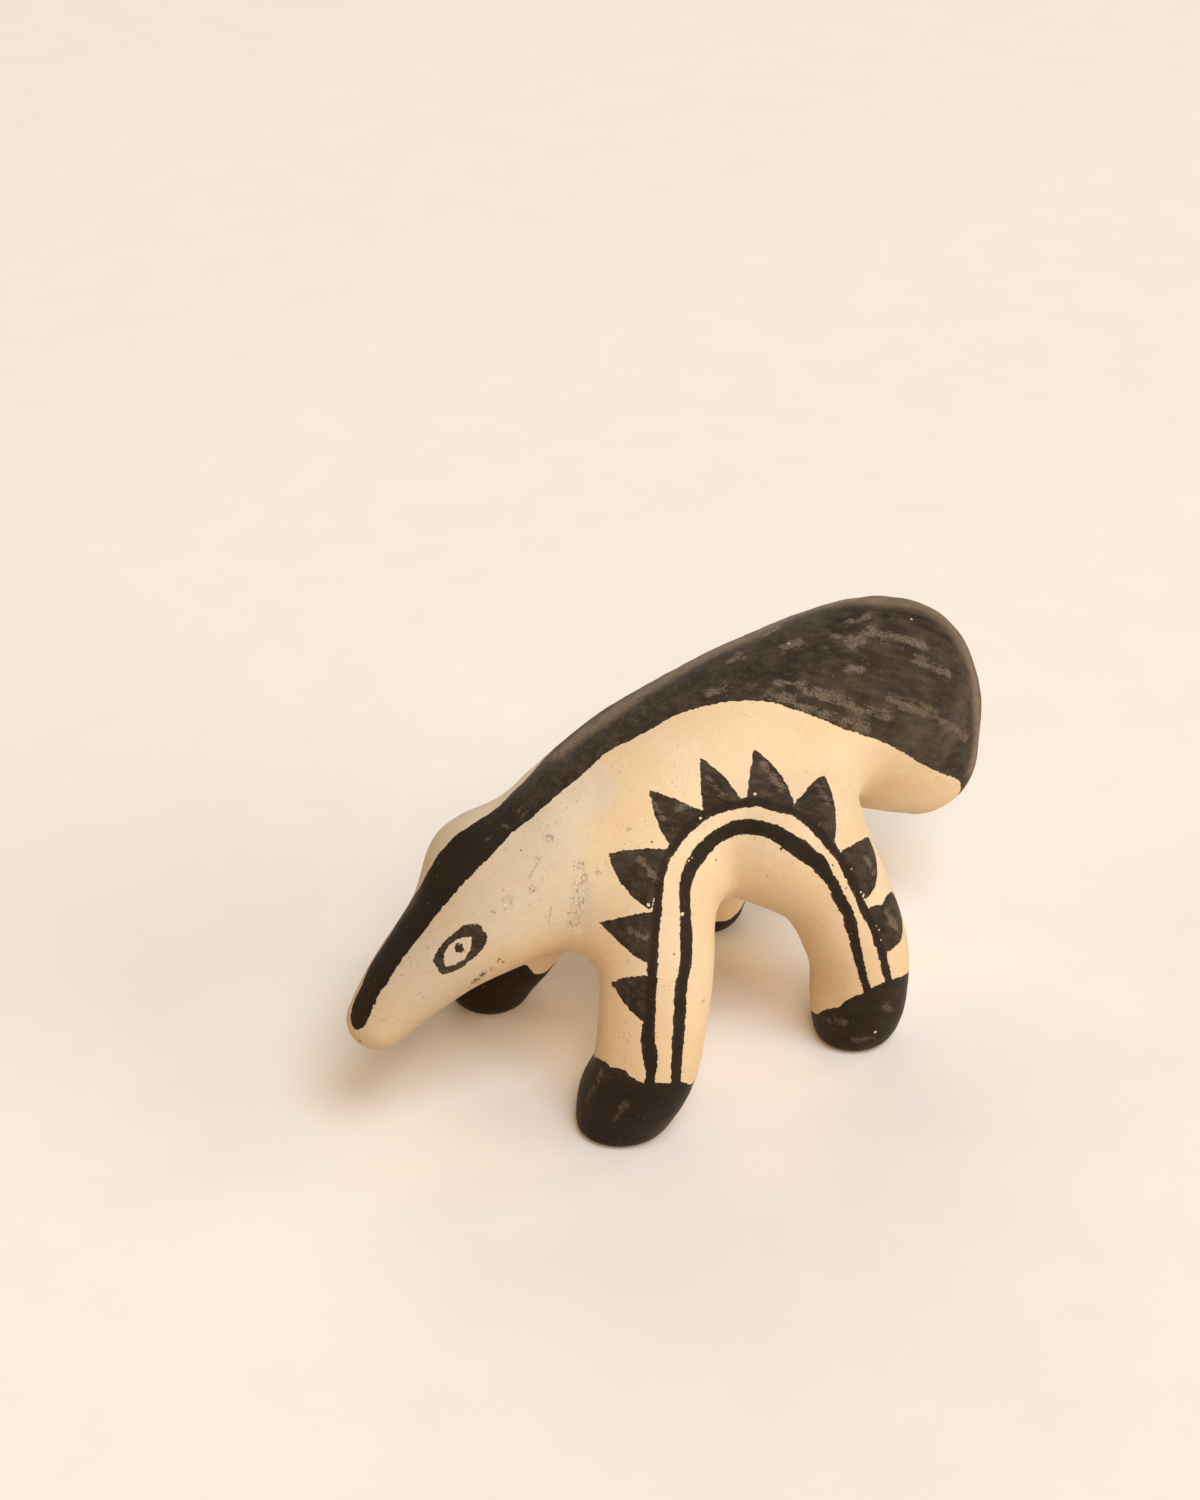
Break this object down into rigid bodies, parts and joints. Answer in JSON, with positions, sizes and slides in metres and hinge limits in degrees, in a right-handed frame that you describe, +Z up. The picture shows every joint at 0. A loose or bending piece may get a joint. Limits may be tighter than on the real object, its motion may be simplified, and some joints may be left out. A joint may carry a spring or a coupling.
{
  "type": "ceramic anteater figurine",
  "caption": "Hand-modelled fired clay anteater figurine with a sloping snout, stout arched legs and a tall drooping tail, painted black on cream.",
  "frame": {"origin": "on the ground under the middle of the animal's overall box", "axes": "+X from the snout towards the tail, +Y towards the animal's right side, +Z up"},
  "size_m": [0.1539, 0.076, 0.0867],
  "materials": {
    "fired_clay": "matte"
  },
  "bodies": {
    "root": {"anteater_figurine": "fired_clay"}
  },
  "joints": []
}
